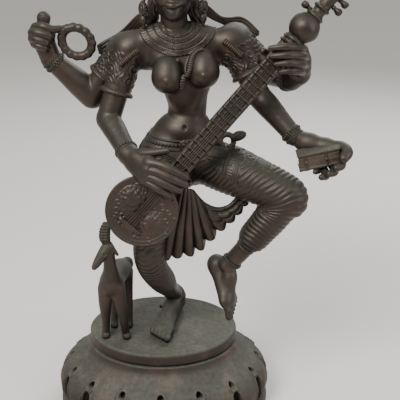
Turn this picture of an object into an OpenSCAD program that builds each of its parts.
// Dancing four-armed musician in cast bronze, with a long-necked lute and a small
// antelope, on an oval lotus pedestal. Z is up, the figure faces -Y, and the origin is
// at the centre of the pedestal's foot. Lengths are in millimetres.

/* [Pedestal] */
// Width of the pedestal across its foot ring
base_w = 224; // [205:1:240]
// Depth of the pedestal as a share of its width
oval = 0.81; // [0.76:0.01:0.88]
// Height of the plinth's top face
plinth_top = 88; // [84:1:96]
// Width of the plinth
plinth_w = 155; // [145:1:162]
// Thickness of the cast walls
wall = 4; // [3:0.5:5]
// Number of lotus petals
petals = 16; // [14:1:18]

/* [Figure] */
// Height of the figure above the plinth, to the top of the crown
figure_h = 420; // [360:5:480]
// Radius of the lute's bowl
bowl_r = 32; // [28:1:34]
// Width of the lute's neck
lute_neck_w = 17; // [14:1:18]
// Number of frets
frets = 19; // [12:1:24]
// Number of prayer beads
beads = 15; // [12:1:18]

/* [Hidden] */

$fn = 48;
bronze = [0.24, 0.20, 0.17];
patina = [0.30, 0.31, 0.26];
steel = [0.55, 0.55, 0.56];

// The figure's joints, in the nominal size, from the plinth's centre.
k = figure_h / 420;
function at(x, y, z) = [x * k, y * k, plinth_top + z * k];
neck_base = at(16, -1, 302);
chin_base = at(15, -5, 326);
pelvis = at(21, 1, 190);
standing_hip = at(3, -4, 186);
standing_knee = at(-8, -40, 100);
standing_ankle = at(13, 30, 19);
raised_hip = at(42, -8, 184);
raised_knee = at(120, -47, 163);
raised_ankle = at(71, -36, 92);
right_shoulder = at(-27, 1, 291);
left_shoulder = at(66, 1, 297);
playing_elbow = at(-46, -12, 226);
playing_wrist = at(-26, -50, 204);
beads_elbow = at(-65, 12, 246);
beads_wrist = at(-101, 6, 281);
book_elbow = at(94, -8, 252);
book_wrist = at(127, -30, 216);
lute_elbow = at(106, 18, 262);
lute_wrist = at(124, -14, 262);

// The lute's axis runs from the bowl's centre through the gourd to the peg head.
lute_bowl_centre = at(-14, -62, 155);
lute_gourd_centre = at(129, -44, 317);
lute_vector = lute_gourd_centre - lute_bowl_centre;
lute_length = norm(lute_vector);
lute_dir = lute_vector / lute_length;
bowl_depth = 22;
gourd_r = 15 * k;

base_r = base_w / 2;
drum_r = base_r - 16;
drum_top = 46;
foot_h = 8;
plinth_r = plinth_w / 2;
deck_z = plinth_top - 24;
stud_at = [5, 4, 0];
stud_r = 4;
pin_hole_at = [-3.5, 38, 0];
pin_hole_r = 2;
plinth_plate = 8;
slack = 0.1;

// ---- helpers ----

function unit(v) = v / norm(v);
function mid(a, b, t) = a + (b - a) * t;

// Depth of a section whose path runs along t, as near as it can be to the direction ref.
function depth_of(t, ref) = unit(ref - t * (ref * t));

// A closed skin through oval sections. Each row is [centre, half width, half depth].
module loft(rows, sides = 16, ref = [0, 1, 0]) {
    n = len(rows);
    path = [for (i = [0:n - 1]) unit(rows[min(i + 1, n - 1)][0] - rows[max(i - 1, 0)][0])];
    depth = [for (t = path) depth_of(t, ref)];
    points = [
        for (i = [0:n - 1]) for (j = [0:sides - 1])
            rows[i][0] + cross(depth[i], path[i]) * rows[i][1] * cos(360 * j / sides)
                + depth[i] * rows[i][2] * sin(360 * j / sides)
    ];
    walls = [
        for (i = [0:n - 2]) for (j = [0:sides - 1])
            [i * sides + j, (i + 1) * sides + j, (i + 1) * sides + (j + 1) % sides, i * sides + (j + 1) % sides]
    ];
    first = [for (j = [0:sides - 1]) j];
    last = [for (j = [sides - 1:-1:0]) (n - 1) * sides + j];
    polyhedron(points, concat([first], walls, [last]), convexity = 6);
}

// Shares of a round end: how far out, and how wide there.
round_end = [[0.95, 0.3], [0.72, 0.7], [0.38, 0.93]];

// A limb from a to b with round ends. bulge is [where, radius] of a muscle between them.
module limb(a, b, ra, rb, bulge = [0.4, 0], sides = 14) {
    t = unit(b - a);
    swell = bulge[1] == 0 ? mid(ra, rb, bulge[0]) : bulge[1];
    loft(concat(
        [for (e = round_end) [a - t * ra * e[0], ra * e[1], ra * e[1]]],
        [[a, ra, ra], [mid(a, b, bulge[0]), swell, swell], [b, rb, rb]],
        [for (i = [2:-1:0]) [b + t * rb * round_end[i][0], rb * round_end[i][1], rb * round_end[i][1]]]
    ), sides);
}

module ball(p, r, fn = 12) {
    translate(p) sphere(r, $fn = fn);
}

module link(a, b, ra, rb, fn = 12) {
    hull() {
        ball(a, ra, fn);
        ball(b, rb, fn);
    }
}

// Joins each [point, radius] to the next.
module chain(rows, fn = 12) {
    for (i = [0:len(rows) - 2])
        link(rows[i][0], rows[i + 1][0], rows[i][1], rows[i + 1][1], fn);
}

// Turns +Z to point along v, with the child moved to p.
module aim(p, v) {
    turn = [0, acos(v[2] / norm(v)), atan2(v[1], v[0])];
    translate(p) rotate(turn) children();
}

// A band of round section around a limb.
module band(p, v, limb_r, wire_r) {
    aim(p, v) rotate_extrude() translate([limb_r, 0]) circle(wire_r);
}

// A solid of revolution flattened to the pedestal's oval.
module oval_turned() {
    scale([1, oval, 1]) rotate_extrude($fn = 96) children();
}

// ---- pedestal ----

// The outline of the pedestal's oval, r out from the middle at its ends.
function oval_outline(r) = [for (a = [0:3.75:359]) [r * cos(a), r * oval * sin(a)]];

// A straight-sided oval ring. Its flat ends are true planes, so that it can be stood on.
module oval_ring(outer, inner, bottom, top) {
    translate([0, 0, bottom]) linear_extrude(height = top - bottom) difference() {
        polygon(oval_outline(outer));
        polygon(oval_outline(inner));
    }
}

module foot_ring() color(patina) {
    oval_ring(base_r, drum_r - wall, 0, 5);
    oval_ring(base_r - 3, drum_r - wall, 5, foot_h);
}

module pedestal_drum() color(patina) oval_ring(drum_r, drum_r - wall, foot_h, drum_top);

// The skirt flares out from under the plinth to cover the petals' tops.
module pedestal_skirt() color(patina) difference() {
    oval_turned() polygon([
        [drum_r - wall, drum_top], [drum_r + 1, drum_top], [base_r - 8, 50], [base_r - 20, 55],
        [base_r - 28, 61], [plinth_r + 3, deck_z + 6], [plinth_r - 4, deck_z + 8],
        [plinth_r - 4, deck_z + 10], [0, deck_z + 10], [0, deck_z + 10 - wall],
        [plinth_r - 4 - wall, deck_z + 10 - wall], [base_r - 28 - wall, 58]
    ]);
    translate(stud_at) cylinder(r = stud_r + slack, h = plinth_top);
}

// Petals hang round the drum, with a gap between each two.
module lotus_petals() color(patina)
    for (i = [0:petals - 1]) {
        a = 360 * (i + 0.5) / petals;
        r = base_r - 10;
        half = PI * base_r / petals * 0.52;
        out = [cos(a), sin(a) * oval, 0];
        along = [-sin(a), cos(a) * oval, 0];
        hull() for (s = [-1, 1]) {
            ball(out * r + along * half * s + [0, 0, 44], 5, 10);
            ball(out * (r + 4) + along * half * 0.5 * s + [0, 0, 17], 6, 10);
        }
    }

module plinth() color(patina) difference() {
    rim = plinth_top - 14;
    oval_turned() polygon([
        [plinth_r - 3, rim], [plinth_r - 0.5, rim + 2], [plinth_r, rim + 7], [plinth_r - 0.7, plinth_top - 2.5],
        [plinth_r - 3, plinth_top], [0, plinth_top], [0, plinth_top - plinth_plate],
        [plinth_r - 3 - wall, plinth_top - plinth_plate], [plinth_r - 3 - wall, rim]
    ]);
    translate(stud_at) cylinder(r = stud_r + slack, h = plinth_top + 1);
    translate(pin_hole_at) cylinder(r = pin_hole_r, h = plinth_top + 1);
}

module figure_stud() color(steel)
    translate(stud_at + [0, 0, deck_z - 6]) cylinder(r = stud_r, h = plinth_top - deck_z + 10);

module stud_washer() color(steel)
    translate(stud_at + [0, 0, deck_z + 4.4]) difference() {
        cylinder(r = 10, h = 1.6);
        translate([0, 0, -1]) cylinder(r = stud_r + slack, h = 4);
    }

module stud_nut() color(steel)
    translate(stud_at + [0, 0, deck_z - 2.2]) difference() {
        cylinder(r = 7.5, h = 6.5, $fn = 6);
        translate([0, 0, -1]) cylinder(r = stud_r + slack, h = 9);
    }

// ---- antelope ----

antelope_chest = at(-49, -40, 70);
antelope_rump = at(-40, -10, 72);
antelope_poll = at(-49, -49, 112);

module antelope_body() color(bronze) loft([
    [at(-49.5, -50, 70), 4, 4], [at(-49.5, -46, 70), 9, 11], [antelope_chest, 12, 14],
    [at(-45, -26, 72), 12, 13], [antelope_rump, 12, 13], [at(-38, -4, 73), 9, 9], [at(-37, 0, 73), 4, 4]
], 16, [0, 0, 1]);

module antelope_head() color(bronze) {
    link(antelope_chest + [0, -4, 8], antelope_poll, 8, 6);
    chain([[antelope_poll, 7], [at(-55, -53, 104), 6], [at(-62, -58, 95), 3.2]]);
    for (s = [-1, 1]) {
        chain([[antelope_poll + [1.5 * s, 0, 5], 3], [at(-51 + 2.4 * s, -52, 130), 3.2], [at(-48 + 2.4 * s, -53, 142), 2]]);
        link(antelope_poll + [4 * s, 2, 3], antelope_poll + [8 * s, 5, 5], 2, 1.2);
    }
}

module antelope_legs() color(bronze)
    for (leg = [[[-44, -42, 62], [-37, -48, 2]], [[-54, -42, 62], [-56, -43, 2]],
                [[-35, -9, 64], [-31, -12, 2]], [[-46, -9, 64], [-49, -13, 2]]]) {
        top = at(leg[0][0], leg[0][1], leg[0][2]);
        hoof = at(leg[1][0], leg[1][1], leg[1][2]);
        link(top, mid(top, hoof, 0.5), 6, 3.6);
        link(mid(top, hoof, 0.5), hoof, 3.6, 3.2);
    }

// ---- legs ----

module standing_thigh() color(bronze) limb(standing_hip, standing_knee, 24, 17, [0.4, 22]);

module standing_shin() color(bronze) limb(standing_knee, standing_ankle, 16, 8, [0.35, 15]);

module standing_foot() color(bronze) loft([
    [at(13.5, 42, 8), 3, 3], [at(13, 38, 9), 8, 8], [at(12, 28, 11), 9, 11], [at(8, 10, 9), 9.5, 9],
    [at(4, -8, 6.5), 11, 6.4], [at(0, -24, 5), 12, 4.8], [at(-3, -34, 4), 11, 3.8], [at(-4, -38, 3.5), 6, 2.5]
], 16, [0, 0, 1]);

module raised_thigh() color(bronze) limb(raised_hip, raised_knee, 25, 18, [0.4, 24]);

module raised_shin() color(bronze) loft([
    [raised_knee, 18, 18], [at(107, -45, 132), 15.5, 15.5], [at(87.5, -42, 108), 12, 12],
    [raised_ankle, 8.5, 8.5]
], 16);

module raised_foot() color(bronze) loft([
    [at(50, -20, 90), 4, 4], [at(53, -23, 84), 8, 9], [at(62, -33, 84), 12, 9], [at(63, -37, 74), 9.5, 9],
    [at(67, -43, 60), 9, 9.5], [at(72, -48, 46), 7.5, 9], [at(75, -51, 38), 5.5, 8], [at(76, -52, 34), 3, 4]
]);

// ---- trunk ----

module hips() color(bronze) loft([
    [at(20, -4, 160), 14, 10], [at(20, -3, 168), 28, 18], [at(20.5, 0, 178), 36, 23], [pelvis, 39, 24],
    [at(21.5, 1, 200), 36, 22], [at(23, 1, 212), 29, 19], [at(25, 0, 223), 22, 15]
], 20);

module girdle() color(bronze)
    for (ring = [[at(22, 1, 196), 39], [at(23.5, 1, 209), 32]])
        translate(ring[0]) rotate([8, 0, 0]) scale([1, 0.64, 1])
            rotate_extrude($fn = 64) translate([ring[1] * k, 0]) circle(2.2);

module hip_knot() color(bronze) {
    translate(at(62, -21, 208)) rotate([80, 0, 0]) rotate_extrude() translate([5.5, 0]) circle(2.6);
    limb(at(66, -21, 214), at(76, -20, 212), 4, 6.5);
}

module torso() color(bronze) {
    loft([
        [at(25.5, 0, 224), 20, 14], [at(27, -1, 236), 18.2, 13], [at(26, -2, 248), 20.5, 14],
        [at(25.5, -2, 260), 25, 16.5], [at(24, -2, 272), 29, 17], [at(21, -1, 284), 37, 16.5],
        [at(19, 0, 294), 42, 14], [at(18, 0, 300), 38, 11], [at(17, 0, 306), 24, 9]
    ], 20);
    for (side = [[9, 268], [42, 273]])
        translate(at(side[0], -22, side[1])) sphere(14.5 * k);
}

module necklace() color(bronze)
    for (i = [0:2])
        translate(at(16.5 + i * 0.6, -4 - i * 3, 304 - i * 4)) rotate([20 + 4 * i, 2, 0]) scale([1, 0.72, 1])
            rotate_extrude($fn = 64) translate([(19 + i * 6) * k, 0]) circle(2);

module neck() color(bronze) limb(neck_base, chin_base, 15, 13);

module head() color(bronze) loft([
    [at(15, -27, 321), 6, 5], [at(15, -23, 324), 12, 10], [at(15, -17, 330), 18, 17],
    [at(15, -11, 340), 22.5, 24], [at(15, -8, 352), 24, 27], [at(15, -6, 364), 23.5, 27],
    [at(15, -5, 374), 19, 22], [at(15, -5, 380), 11, 13]
], 20);

module hair_bun() color(bronze) loft([
    [at(15, 10, 322), 8, 5], [at(15, 15, 328), 15, 8], [at(15, 18, 340), 19, 9],
    [at(15, 18, 352), 18, 9], [at(15, 15, 362), 12, 8]
]);

module crown() color(bronze)
    translate(at(14, -4, 362)) rotate([0, -4, 0]) scale([k, k, k]) rotate_extrude() polygon([
        [0, 0], [27.5, 0], [28.5, 3], [27.5, 12], [25, 14], [22, 15], [22.5, 19], [20, 23],
        [18.5, 25], [19, 29], [16, 32], [14, 34], [14.5, 38], [11.5, 41], [9, 43], [9.5, 47],
        [6, 50], [3.5, 52], [4.6, 55], [2.5, 58], [0, 58.5]
    ]);

module earrings() color(bronze)
    for (ear = [[at(-11, -7, 332), at(-13, -8, 324)], [at(39, -7, 336), at(41, -8, 328)]]) {
        limb(ear[0] + [0, 0, 10], ear[0], 3.2, 3.6);
        aim(ear[1], [1, 0.2, 0]) translate([0, 0, -2.5]) cylinder(r = 6, h = 5);
    }

module shoulder_ribbons() color(bronze)
    for (rows = [
        [[at(-9, 12, 320), 4], [at(-18, 18, 308), 4.5], [at(-34, 20, 297), 5], [at(-50, 20, 284), 6]],
        [[at(48, 12, 326), 4], [at(58, 18, 316), 4.5], [at(74, 19, 313), 5], [at(90, 18, 303), 6]]
    ]) chain(rows);

// ---- arms ----

module playing_upper_arm() color(bronze) limb(right_shoulder, playing_elbow, 15, 11, [0.45, 14.5]);
module playing_forearm() color(bronze) limb(playing_elbow, playing_wrist, 11, 8, [0.3, 11.5]);
module beads_upper_arm() color(bronze) limb(right_shoulder + [-6, 10, -2] * k, beads_elbow, 14, 12, [0.5, 13]);
module beads_forearm() color(bronze) limb(beads_elbow, beads_wrist, 12, 8, [0.3, 12.5]);
module book_upper_arm() color(bronze) limb(left_shoulder, book_elbow, 15, 11.5, [0.45, 14]);
module book_forearm() color(bronze) limb(book_elbow, book_wrist, 11.5, 8, [0.3, 11.5]);
module lute_arm_upper_arm() color(bronze) limb(left_shoulder + [6, 10, 2] * k, lute_elbow, 14, 11);
module lute_arm_forearm() color(bronze) limb(lute_elbow, lute_wrist, 11, 9);

// A palm and digits. Each digit is a list of [point, radius] rows.
module hand(palm, digits) {
    hull() for (p = palm) ball(p[0], p[1], 12);
    for (d = digits) chain(d, 10);
}

module playing_hand() color(bronze) hand(
    [[playing_wrist, 8], [at(-8, -68, 202), 5], [at(-12, -68, 186), 5], [at(6, -74, 192), 4.5], [at(0, -76, 178), 4.5]],
    concat(
        [[[at(-14, -60, 205), 4], [at(-2, -64, 212), 3.6], [at(10, -66, 213), 2.6]]],
        [for (i = [0:3]) [
            [at(6 - 2.4 * i, -75, 192 - 5.6 * i), 3.8],
            [at(17 - 2.8 * i, -79, 184 - 6 * i), 3.4],
            [at(27 - 4 * i, -78, 176 - 6.4 * i), 2.7]
        ]]
    ));

module beads_hand() color(bronze) hand(
    [[beads_wrist, 8], [at(-113, 2, 296), 5], [at(-99, 0, 298), 5], [at(-106, 2, 306), 6]],
    [
        [[at(-104, -2, 304), 5], [at(-105, -1, 313), 4.5], [at(-105, 0, 321), 5]],
        [[at(-112, -4, 306), 4.4], [at(-103, -9, 309), 4.2], [at(-94, -4, 305), 3.2]],
        [[at(-114, -3, 300), 4.4], [at(-105, -9, 302), 4.2], [at(-97, -5, 299), 3.2]],
        [[at(-114, -3, 295), 4], [at(-107, -8, 295), 3.8], [at(-101, -5, 293), 3]]
    ]);

module book_hand() color(bronze) hand(
    [[book_wrist, 8], [at(142, -34, 222), 5], [at(140, -38, 208), 5], [at(158, -38, 216), 5], [at(156, -44, 206), 5]],
    [
        [[at(158, -39, 217), 4.6], [at(168, -44, 210), 4], [at(167, -54, 202), 3]],
        [[at(157, -40, 212), 4.6], [at(164, -46, 204), 4], [at(166, -55, 196), 3]],
        [[at(152, -40, 208), 4.6], [at(156, -48, 198), 4], [at(158, -57, 190), 3]],
        [[at(146, -40, 206), 4.6], [at(149, -48, 194), 4], [at(152, -57, 185), 3]]
    ]);

module lute_arm_hand() color(bronze) hand(
    [[lute_wrist, 9], [at(131, -30, 276), 6], [at(118, -26, 264), 7], [at(129, -34, 286), 5]],
    [for (i = [0:3]) [
        [at(128 - i * 1.5, -38, 290 - i * 7), 4.6],
        [at(119 - i * 2, -56, 294 - i * 7.5), 4.2],
        [at(105 - i * 1.5, -58, 298 - i * 8), 3]
    ]]);

// ---- ornaments ----

// Where the bands sit: [point on the limb, direction of the limb, radius there].
armlet_rows = [
    [mid(right_shoulder, playing_elbow, 0.62), playing_elbow - right_shoulder, 15],
    [mid(left_shoulder, book_elbow, 0.62), book_elbow - left_shoulder, 15],
    [mid(right_shoulder, beads_elbow, 0.62) + [-3, 5, -1] * k, beads_elbow - right_shoulder, 14]
];
bracelet_rows = [
    [mid(playing_elbow, playing_wrist, 0.92), playing_wrist - playing_elbow, 9],
    [mid(beads_elbow, beads_wrist, 0.92), beads_wrist - beads_elbow, 9],
    [mid(book_elbow, book_wrist, 0.92), book_wrist - book_elbow, 9],
    [mid(lute_elbow, lute_wrist, 0.92), lute_wrist - lute_elbow, 10]
];
anklet_rows = [
    [mid(standing_knee, standing_ankle, 0.93), standing_ankle - standing_knee, 9.5],
    [mid(raised_knee, raised_ankle, 0.96), raised_ankle - raised_knee, 10]
];

module armlets() color(bronze) for (r = armlet_rows) band(r[0], r[1], r[2] * k, 2.4);
module bracelets() color(bronze) for (r = bracelet_rows) band(r[0], r[1], r[2] * k, 2.2);
module anklets() color(bronze) for (r = anklet_rows) band(r[0], r[1], r[2] * k, 2.2);

module sash_pleats() color(bronze)
    for (i = [0:7]) {
        spread = i / 7;
        foot = at(2 + 54 * spread, -30 + 3 * (i % 2), 97 + 10 * spread * spread + (i % 2) * 4);
        link(at(25, -38, 168), foot, 3.5, 4.5, 10);
    }

module sash_swag() color(bronze) chain([
    [at(30, -34, 164), 5], [at(42, -32, 142), 5.5], [at(56, -30, 128), 7],
    [at(70, -30, 134), 6.5], [at(78, -30, 152), 5]
]);

// ---- lute ----

// The bowl is a shallow dome behind a flat soundboard that faces -Y.
module lute_bowl() color(bronze)
    translate(lute_bowl_centre) rotate([-90, 0, 0]) intersection() {
        scale([k, k, k]) translate([0, 0, -12]) sphere(r = sqrt(bowl_r * bowl_r + 144), $fn = 64);
        cylinder(r = bowl_r * k + 2, h = bowl_depth * k);
    }

module lute_soundboard() color(bronze)
    translate(lute_bowl_centre) rotate([90, 0, 0]) cylinder(r = (bowl_r + 1) * k, h = 4);

module lute_bridge() color(bronze)
    translate(lute_bowl_centre + [-7, -4.5, -8] * k) rotate([0, -48, 0]) cube([4, 5, 16], center = true);

// Moves to a place along the lute's axis. There, X runs across the neck and -Y is its face.
module on_lute(s) {
    turn = atan2(lute_dir[0], lute_dir[2]);
    translate(lute_bowl_centre + lute_dir * s) rotate([0, turn, 0]) rotate([-asin(lute_dir[1]), 0, 0]) children();
}

module lute_neck() color(bronze)
    on_lute(bowl_r * 0.9)
        linear_extrude(height = lute_length - bowl_r * 0.9 - gourd_r * 0.8)
            polygon([for (a = [0:30:330]) [cos(a) * lute_neck_w / 2, sin(a) * lute_neck_w * 0.34]]);

module lute_frets() color(bronze) {
    start = bowl_r + 8;
    step = (lute_length - start - gourd_r - 6) / (frets - 1);
    for (i = [0:frets - 1])
        on_lute(start + i * step) translate([0, -5.4, 0]) cube([lute_neck_w * 0.95, 2.4, 2.2], center = true);
}

module lute_strings() color(bronze)
    for (x = [-3.3, -1.1, 1.1, 3.3])
        on_lute(-10) translate([x, -7, 0]) cylinder(r = 0.5, h = lute_length - gourd_r, $fn = 16);

module lute_gourd() color(bronze) translate(lute_gourd_centre) sphere(gourd_r);

module lute_peghead() color(bronze)
    aim(lute_gourd_centre + lute_dir * gourd_r * 0.8, lute_dir) scale([k, k, k]) rotate_extrude() polygon([
        [0, 0], [8, 0], [9, 2], [8, 4], [7, 5], [7, 9], [8.5, 10], [8.5, 12], [7, 13], [7, 26],
        [8.5, 28], [9, 32], [7, 37], [3, 40], [0, 40.5]
    ]);

module lute_pegs() color(bronze)
    for (peg = [[4, -1, 8], [18, 1, 6], [26, 1, -6], [31, -1, -6]])
        on_lute(lute_length + gourd_r * 0.8 + peg[0] * k) rotate([peg[2], 90 * peg[1], 0]) scale([k, k, k])
            rotate_extrude() polygon([[0, 0], [2, 0], [2, 8], [4.2, 10], [3.8, 15], [0, 16]]);

// ---- held things ----

module prayer_beads() color(bronze) {
    centre = at(-75, 2, 298);
    link(centre + [-16, 0, 4] * k, at(-98, -5, 305), 2.6, 2.6);
    for (i = [0:beads - 1]) {
        a = 360 * i / beads;
        translate(centre + [14 * cos(a), 0, 13 * sin(a)] * k) sphere(4.4 * k, $fn = 24);
    }
}

module palm_leaf_book() color(bronze)
    translate(at(151, -49, 203)) rotate([0, -12, 0]) for (i = [0:2])
        translate([0, 0, 5.2 * (i - 1)]) cube([46 - 2 * (i % 2), 11 - (i % 2), 4.9], center = true);

foot_ring();
pedestal_drum();
pedestal_skirt();
lotus_petals();
plinth();
figure_stud();
stud_washer();
stud_nut();
antelope_body();
antelope_head();
antelope_legs();
standing_thigh();
standing_shin();
standing_foot();
raised_thigh();
raised_shin();
raised_foot();
hips();
girdle();
hip_knot();
sash_pleats();
sash_swag();
torso();
necklace();
neck();
head();
hair_bun();
crown();
earrings();
shoulder_ribbons();
playing_upper_arm();
playing_forearm();
playing_hand();
beads_upper_arm();
beads_forearm();
beads_hand();
book_upper_arm();
book_forearm();
book_hand();
lute_arm_upper_arm();
lute_arm_forearm();
lute_arm_hand();
armlets();
bracelets();
anklets();
lute_bowl();
lute_soundboard();
lute_bridge();
lute_neck();
lute_frets();
lute_strings();
lute_gourd();
lute_peghead();
lute_pegs();
prayer_beads();
palm_leaf_book();
